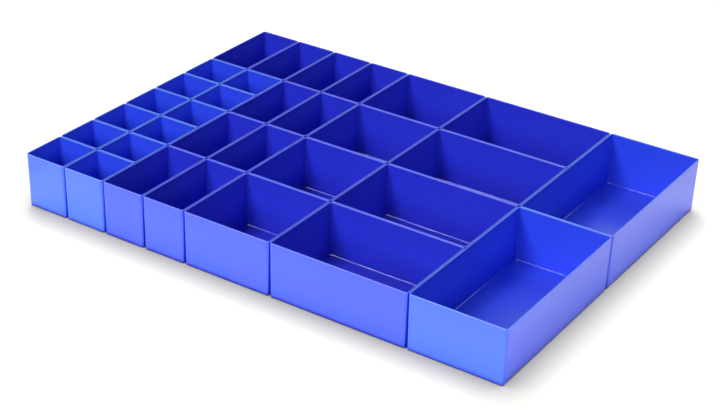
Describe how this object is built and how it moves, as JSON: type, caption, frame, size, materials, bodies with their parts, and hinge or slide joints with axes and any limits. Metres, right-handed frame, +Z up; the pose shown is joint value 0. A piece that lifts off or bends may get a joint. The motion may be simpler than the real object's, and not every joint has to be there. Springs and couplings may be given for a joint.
{
  "type": "parts organizer",
  "caption": "Set of loose open-topped drawer boxes in five footprints on one square module, packed side by side to fill a flat rectangular drawer; each box lifts out by itself.",
  "frame": {"origin": "middle of the set's footprint, on the surface that it stands on", "axes": "+X along the long front edge from the smallest boxes to the longest, +Y from the front edge to the back, +Z up through the open tops"},
  "size_m": [0.5934, 0.4314, 0.063],
  "materials": {
    "light_blue_plastic": "satin injection-moulded polystyrene, a lighter azure batch of the same blue",
    "deep_blue_plastic": "satin injection-moulded polystyrene, ultramarine blue"
  },
  "bodies": {
    "small_box_01": {"small_box_01": "light_blue_plastic"},
    "small_box_02": {"small_box_02": "light_blue_plastic"},
    "small_box_03": {"small_box_03": "light_blue_plastic"},
    "small_box_04": {"small_box_04": "light_blue_plastic"},
    "small_box_05": {"small_box_05": "light_blue_plastic"},
    "small_box_06": {"small_box_06": "light_blue_plastic"},
    "small_box_07": {"small_box_07": "light_blue_plastic"},
    "small_box_08": {"small_box_08": "light_blue_plastic"},
    "small_box_09": {"small_box_09": "light_blue_plastic"},
    "small_box_10": {"small_box_10": "light_blue_plastic"},
    "small_box_11": {"small_box_11": "light_blue_plastic"},
    "small_box_12": {"small_box_12": "light_blue_plastic"},
    "narrow_box_01": {"narrow_box_01": "deep_blue_plastic"},
    "narrow_box_02": {"narrow_box_02": "deep_blue_plastic"},
    "narrow_box_03": {"narrow_box_03": "deep_blue_plastic"},
    "narrow_box_04": {"narrow_box_04": "deep_blue_plastic"},
    "narrow_box_05": {"narrow_box_05": "deep_blue_plastic"},
    "narrow_box_06": {"narrow_box_06": "deep_blue_plastic"},
    "narrow_box_07": {"narrow_box_07": "deep_blue_plastic"},
    "narrow_box_08": {"narrow_box_08": "deep_blue_plastic"},
    "narrow_box_09": {"narrow_box_09": "deep_blue_plastic"},
    "narrow_box_10": {"narrow_box_10": "deep_blue_plastic"},
    "square_box_01": {"square_box_01": "deep_blue_plastic"},
    "square_box_02": {"square_box_02": "deep_blue_plastic"},
    "square_box_03": {"square_box_03": "deep_blue_plastic"},
    "square_box_04": {"square_box_04": "deep_blue_plastic"},
    "wide_box_01": {"wide_box_01": "deep_blue_plastic"},
    "wide_box_02": {"wide_box_02": "deep_blue_plastic"},
    "wide_box_03": {"wide_box_03": "deep_blue_plastic"},
    "wide_box_04": {"wide_box_04": "deep_blue_plastic"},
    "long_box_01": {"long_box_01": "light_blue_plastic"},
    "long_box_02": {"long_box_02": "light_blue_plastic"}
  },
  "joints": [
    {"name": "small_box_01_lift", "type": "slide", "parent": "long_box_01", "child": "small_box_01", "axis": [0, 0, 1], "range_m": [0, 0.08]},
    {"name": "small_box_02_lift", "type": "slide", "parent": "long_box_01", "child": "small_box_02", "axis": [0, 0, 1], "range_m": [0, 0.08]},
    {"name": "small_box_03_lift", "type": "slide", "parent": "long_box_01", "child": "small_box_03", "axis": [0, 0, 1], "range_m": [0, 0.08]},
    {"name": "small_box_04_lift", "type": "slide", "parent": "long_box_01", "child": "small_box_04", "axis": [0, 0, 1], "range_m": [0, 0.08]},
    {"name": "small_box_05_lift", "type": "slide", "parent": "long_box_01", "child": "small_box_05", "axis": [0, 0, 1], "range_m": [0, 0.08]},
    {"name": "small_box_06_lift", "type": "slide", "parent": "long_box_01", "child": "small_box_06", "axis": [0, 0, 1], "range_m": [0, 0.08]},
    {"name": "small_box_07_lift", "type": "slide", "parent": "long_box_01", "child": "small_box_07", "axis": [0, 0, 1], "range_m": [0, 0.08]},
    {"name": "small_box_08_lift", "type": "slide", "parent": "long_box_01", "child": "small_box_08", "axis": [0, 0, 1], "range_m": [0, 0.08]},
    {"name": "small_box_09_lift", "type": "slide", "parent": "long_box_01", "child": "small_box_09", "axis": [0, 0, 1], "range_m": [0, 0.08]},
    {"name": "small_box_10_lift", "type": "slide", "parent": "long_box_01", "child": "small_box_10", "axis": [0, 0, 1], "range_m": [0, 0.08]},
    {"name": "small_box_11_lift", "type": "slide", "parent": "long_box_01", "child": "small_box_11", "axis": [0, 0, 1], "range_m": [0, 0.08]},
    {"name": "small_box_12_lift", "type": "slide", "parent": "long_box_01", "child": "small_box_12", "axis": [0, 0, 1], "range_m": [0, 0.08]},
    {"name": "narrow_box_01_lift", "type": "slide", "parent": "long_box_01", "child": "narrow_box_01", "axis": [0, 0, 1], "range_m": [0, 0.08]},
    {"name": "narrow_box_02_lift", "type": "slide", "parent": "long_box_01", "child": "narrow_box_02", "axis": [0, 0, 1], "range_m": [0, 0.08]},
    {"name": "narrow_box_03_lift", "type": "slide", "parent": "long_box_01", "child": "narrow_box_03", "axis": [0, 0, 1], "range_m": [0, 0.08]},
    {"name": "narrow_box_04_lift", "type": "slide", "parent": "long_box_01", "child": "narrow_box_04", "axis": [0, 0, 1], "range_m": [0, 0.08]},
    {"name": "narrow_box_05_lift", "type": "slide", "parent": "long_box_01", "child": "narrow_box_05", "axis": [0, 0, 1], "range_m": [0, 0.08]},
    {"name": "narrow_box_06_lift", "type": "slide", "parent": "long_box_01", "child": "narrow_box_06", "axis": [0, 0, 1], "range_m": [0, 0.08]},
    {"name": "narrow_box_07_lift", "type": "slide", "parent": "long_box_01", "child": "narrow_box_07", "axis": [0, 0, 1], "range_m": [0, 0.08]},
    {"name": "narrow_box_08_lift", "type": "slide", "parent": "long_box_01", "child": "narrow_box_08", "axis": [0, 0, 1], "range_m": [0, 0.08]},
    {"name": "narrow_box_09_lift", "type": "slide", "parent": "long_box_01", "child": "narrow_box_09", "axis": [0, 0, 1], "range_m": [0, 0.08]},
    {"name": "narrow_box_10_lift", "type": "slide", "parent": "long_box_01", "child": "narrow_box_10", "axis": [0, 0, 1], "range_m": [0, 0.08]},
    {"name": "square_box_01_lift", "type": "slide", "parent": "long_box_01", "child": "square_box_01", "axis": [0, 0, 1], "range_m": [0, 0.08]},
    {"name": "square_box_02_lift", "type": "slide", "parent": "long_box_01", "child": "square_box_02", "axis": [0, 0, 1], "range_m": [0, 0.08]},
    {"name": "square_box_03_lift", "type": "slide", "parent": "long_box_01", "child": "square_box_03", "axis": [0, 0, 1], "range_m": [0, 0.08]},
    {"name": "square_box_04_lift", "type": "slide", "parent": "long_box_01", "child": "square_box_04", "axis": [0, 0, 1], "range_m": [0, 0.08]},
    {"name": "wide_box_01_lift", "type": "slide", "parent": "long_box_01", "child": "wide_box_01", "axis": [0, 0, 1], "range_m": [0, 0.08]},
    {"name": "wide_box_02_lift", "type": "slide", "parent": "long_box_01", "child": "wide_box_02", "axis": [0, 0, 1], "range_m": [0, 0.08]},
    {"name": "wide_box_03_lift", "type": "slide", "parent": "long_box_01", "child": "wide_box_03", "axis": [0, 0, 1], "range_m": [0, 0.08]},
    {"name": "wide_box_04_lift", "type": "slide", "parent": "long_box_01", "child": "wide_box_04", "axis": [0, 0, 1], "range_m": [0, 0.08]},
    {"name": "long_box_02_lift", "type": "slide", "parent": "long_box_01", "child": "long_box_02", "axis": [0, 0, 1], "range_m": [0, 0.08]}
  ]
}
